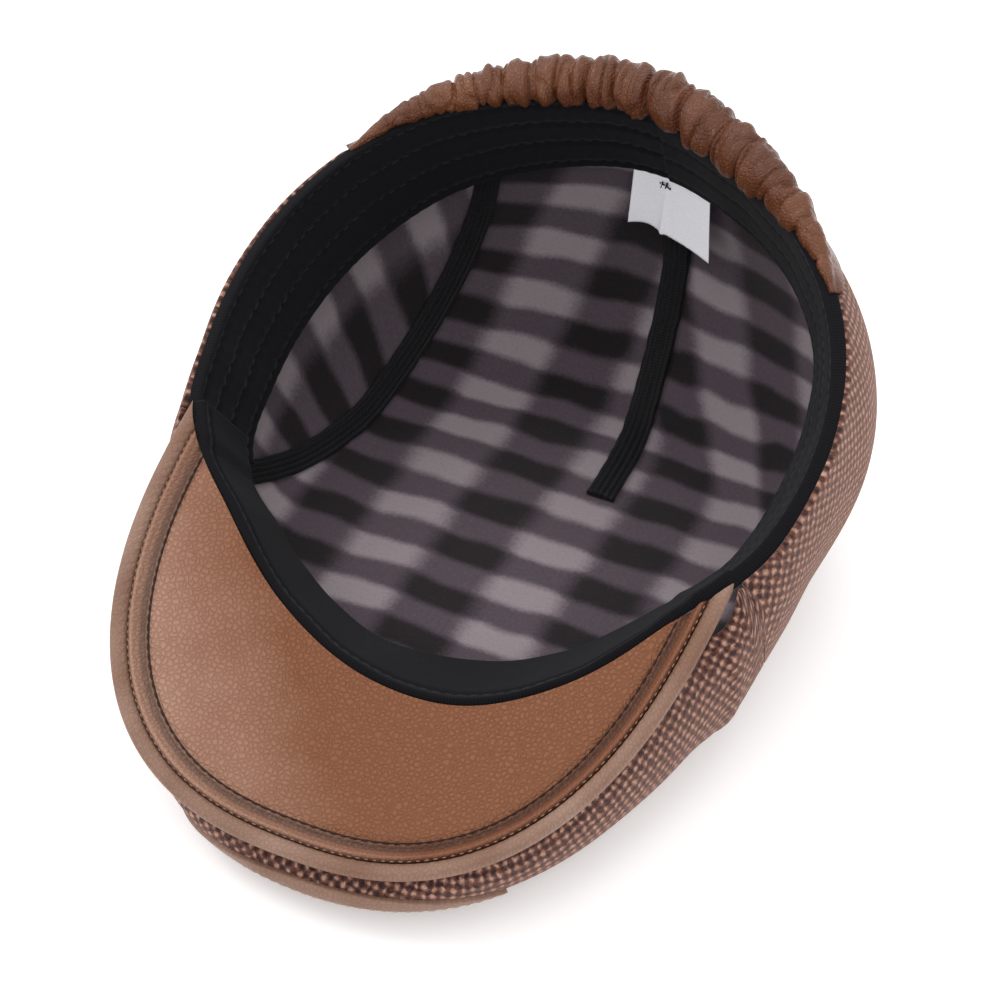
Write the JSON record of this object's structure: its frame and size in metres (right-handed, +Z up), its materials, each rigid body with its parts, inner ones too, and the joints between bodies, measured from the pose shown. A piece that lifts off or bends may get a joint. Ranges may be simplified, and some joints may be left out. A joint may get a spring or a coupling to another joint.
{
  "type": "duckbill cap",
  "caption": "Soft lined duckbill cap lying on its crown, with a stiff curved bill, a sweatband and a gathered elastic casing at the back.",
  "frame": {"origin": "on the surface that the crown rests on, below the middle of the head opening", "axes": "+Z up out of the opening, -Y towards the bill, +X to the right when the bill points at the viewer, which the names of the nodes follow"},
  "size_m": [0.1919, 0.2459, 0.1213],
  "materials": {
    "crown_tweed": "brown and beige woven tweed",
    "lining_plaid": "brushed grey plaid",
    "seam_tape": "black ribbed tape",
    "band_twill": "black matt twill",
    "bill_leather": "brown pebbled, half gloss",
    "edge_leather": "brown fine grain, half gloss",
    "casing_leather": "brown gathered, glossy",
    "label_cloth": "white satin weave"
  },
  "bodies": {
    "root": {"crown_top": "crown_tweed", "crown_side_left": "crown_tweed", "crown_side_right": "crown_tweed", "lining_top": "lining_plaid", "lining_side_left": "lining_plaid", "seam_tape_left": "seam_tape", "seam_tape_dart": "seam_tape", "sweatband": "band_twill", "front_band": "band_twill", "bill_underside": "bill_leather", "bill_border": "bill_leather", "bill_binding": "edge_leather", "front_strip": "edge_leather", "elastic_back": "casing_leather", "care_label": "label_cloth"}
  },
  "joints": []
}
